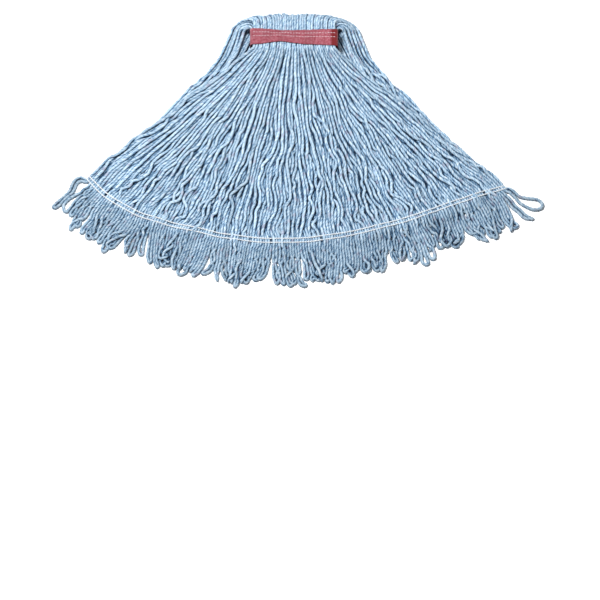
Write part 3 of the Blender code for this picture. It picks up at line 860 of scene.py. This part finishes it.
# Across the band in mm: its lower edge, and its upper edge.
LOWER_EDGE = ((-67, 3.2), (-50, 4.2), (-34, 7.4), (-22, 8.6), (-8, 6.6), (12, 3.6), (40, 2.4),
              (67, 1.2))
UPPER_EDGE = ((-67, 32.0), (-45, 30.6), (-22, 27.9), (0, 27.6), (25, 28.4), (50, 29.6), (67, 30.4))
SEAMS = (0.775, 0.53)                # how far up the band each row of stitches is


def edge_at(table, x):
    xs, ys = zip(*table)
    return np.interp(x / mm, xs, ys) * mm


def band_section():
    """The tape's line round the bundle, in x and z, with its length so far."""
    side = BAND_HALF - TAPE / 2
    points = [(side - CORNER - 3 * mm, LAP)]
    for cx, cz, begin, end in ((CORNER - side, LAP + CORNER, 270, 180),
                               (CORNER - side, FACE - CORNER, 180, 90),
                               (side - CORNER, FACE - CORNER, 90, 0),
                               (side - CORNER, BACK + CORNER, 0, -90)):
        for a in np.radians(np.linspace(begin, end, 7)):
            points.append((cx + CORNER * math.cos(a), cz + CORNER * math.sin(a)))
    points.append((CORNER - side, BACK))
    return np.array(points)


def band_lift(x, up):
    """How far yarn under the tape, its seams and its gathers raise or lower the front face."""
    ridges = 0.30 * np.sin(x / mm * 1.28 + 1.3 * np.sin(x / mm * 0.21)) \
        + 0.25 * np.sin(x / mm * 0.47 + 0.8)
    seam = sum(-0.75 * np.exp(-((up - at) / 0.05) ** 2) for at in SEAMS)
    near = np.exp(-((x / mm + 21) / 13) ** 2)
    gather = 0.7 * near * np.cos(up * 17 + x / mm * 0.10)
    crown = 0.8 * (1 - (x / BAND_HALF) ** 2) - 0.4 * (2 * up - 1) ** 4
    return (ridges + seam + gather + crown - 0.2) * mm


section = band_section()
steps = int(np.linalg.norm(np.diff(section, axis=0), axis=1).sum() / STEP)
section = even_points(section, steps)
ROWS = 26
verts, ups, runs = [], [], []
fray = np.convolve(dice.normal(0, 0.3, len(section) + 4), np.ones(5) / 5, "valid")
for n, (x, z) in enumerate(section):
    low = edge_at(LOWER_EDGE, x) + fray[n] * mm
    high = edge_at(UPPER_EDGE, x) - fray[-n] * mm
    face = np.clip((z - 38 * mm) / (7 * mm), 0, 1)
    for row in range(ROWS):
        up = row / (ROWS - 1)
        verts.append((x, low + (high - low) * up, z + band_lift(x, up) * face))
        ups.append(up * TAPE_WIDTH)
        runs.append(n * STEP)
faces = [(n * ROWS + r, n * ROWS + r + 1, (n + 1) * ROWS + r + 1, (n + 1) * ROWS + r)
         for n in range(len(section) - 1) for r in range(ROWS - 1)]
tape_mesh = bpy.data.meshes.new("headband_tape")
tape_mesh.from_pydata(np.array(verts) + np.array(edge), [], faces)
for label, values in (("up", ups), ("run", runs)):
    tape_mesh.attributes.new(label, "FLOAT", "POINT").data.foreach_set(
        "value", np.array(values, np.float32))
headband = bpy.data.objects.new("headband_tape", tape_mesh)
bpy.context.scene.collection.objects.link(headband)
wall = headband.modifiers.new("tape", "SOLIDIFY")
wall.thickness = TAPE
wall.offset = 0.0
for polygon in tape_mesh.polygons:
    polygon.use_smooth = True

# Woven in a plain weave, a thread every 1.5 mm. Its colour follows the weave's relief: the dark red
# in the hollows is painted shade, and the pale pink on the raised crossings is partly paler threads
# and partly painted highlight.
tape_material, tree, shader = new_material("red_woven_mesh_tape")
up_at = add_node(tree, "ShaderNodeAttribute", attribute_name="up")
run_at = add_node(tree, "ShaderNodeAttribute", attribute_name="run")
place = add_node(tree, "ShaderNodeTexCoord")


def woven(attribute, shift):
    """Rounded ridges 0..1 across the threads, every 1.5 mm."""
    turns = add_node(tree, "ShaderNodeMath", {1: 2 * math.pi / WEAVE, 2: shift},
                     [(0, attribute, "Fac")], operation="MULTIPLY_ADD")
    wave = add_node(tree, "ShaderNodeMath", links=[(0, turns, 0)], operation="SINE")
    return wave


warp, weft = woven(up_at, 0.0), woven(run_at, 0.0)
over = add_node(tree, "ShaderNodeMath", links=[(0, warp, 0), (1, weft, 0)],
                operation="MULTIPLY")
weave = add_node(tree, "ShaderNodeMapRange", {"From Min": -1.0, "From Max": 1.0},
                 [("Value", over, 0)])
slubs = add_node(tree, "ShaderNodeTexNoise", {"Scale": 330, "Detail": 2.0},
                 [("Vector", place, "Object")])
blotch = add_node(tree, "ShaderNodeTexNoise", {"Scale": 55, "Detail": 2.0},
                  [("Vector", place, "Object")])
# Painted shade and highlight: dark red where the weave sinks, pale pink where it rises, broken by
# slubs.
pale_thread_and_highlight_mask = add_node(tree, "ShaderNodeMath", links=[(0, weave, 0), (1, slubs, "Fac")],
                     operation="MULTIPLY")
pale_thread_and_highlight = add_node(tree, "ShaderNodeMapRange",
                {"From Min": 0.22, "From Max": 0.50, "To Max": 0.9}, [("Value", pale_thread_and_highlight_mask, 0)])
tape_red = add_node(tree, "ShaderNodeMixRGB", {"Color1": linear("#87303f"),
                                                        "Color2": linear("#cc8c98")},
                    [("Fac", pale_thread_and_highlight, 0)])
uneven = add_node(tree, "ShaderNodeMapRange", {"From Min": 0.3, "From Max": 0.7,
                                                        "To Min": 0.86, "To Max": 1.10},
                  [("Value", blotch, "Fac")])
toned = add_node(tree, "ShaderNodeVectorMath",
                 links=[("Vector", tape_red, 0), ("Scale", uneven, 0)], operation="SCALE")
split = add_node(tree, "ShaderNodeSeparateXYZ", links=[("Vector", place, "Object")])
# Painted shade: the tape's right end is darkened to a deep red.
end_shade_mask = add_node(tree, "ShaderNodeMapRange",
                   {"From Min": edge.x + SHADED_END_FROM,
                    "From Max": edge.x + SHADED_END_FROM + 4 * mm},
                   [("Value", split, "X")])
end_shaded_red = add_node(tree, "ShaderNodeMixRGB", {"Color2": linear("#720a14")},
                       [("Fac", end_shade_mask, 0), ("Color1", toned, 0)])
tree.links.new(end_shaded_red.outputs[0], shader.inputs["Base Color"])
relief = add_node(tree, "ShaderNodeBump", {"Strength": 0.9, "Distance": 0.0005},
                  [("Height", weave, 0)])
tree.links.new(relief.outputs[0], shader.inputs["Normal"])
shader.inputs["Roughness"].default_value = 0.75
shader.inputs["Specular IOR Level"].default_value = 0.35
shader.inputs["Sheen Weight"].default_value = 0.15
tape_mesh.materials.append(tape_material)
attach(headband, "head")
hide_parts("headband")

band_thread = stitch_tree("lock_stitch", thread_material("pale_pink_polyester_thread", "#dcb4ba"))


def seam_line(at, front):
    xs = np.linspace(-61, 61, 80) * mm
    low, high = edge_at(LOWER_EDGE, xs), edge_at(UPPER_EDGE, xs)
    rise = band_lift(xs, np.full(len(xs), at)) + TAPE / 2
    z = FACE + rise if front else np.full(len(xs), BACK - TAPE / 2)
    return np.column_stack([xs, low + (high - low) * at, z]) + np.array(edge)


for side in ("front", "back"):
    row = sewn(f"headband_{side}_stitches", [seam_line(at, side == "front") for at in SEAMS],
               band_thread, 4.4 * mm, 2.6 * mm, 0.3 * mm, 0.65 * mm)
    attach(row, "head")
    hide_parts(f"headband_{side}_stitch_upper", f"headband_{side}_stitch_lower")
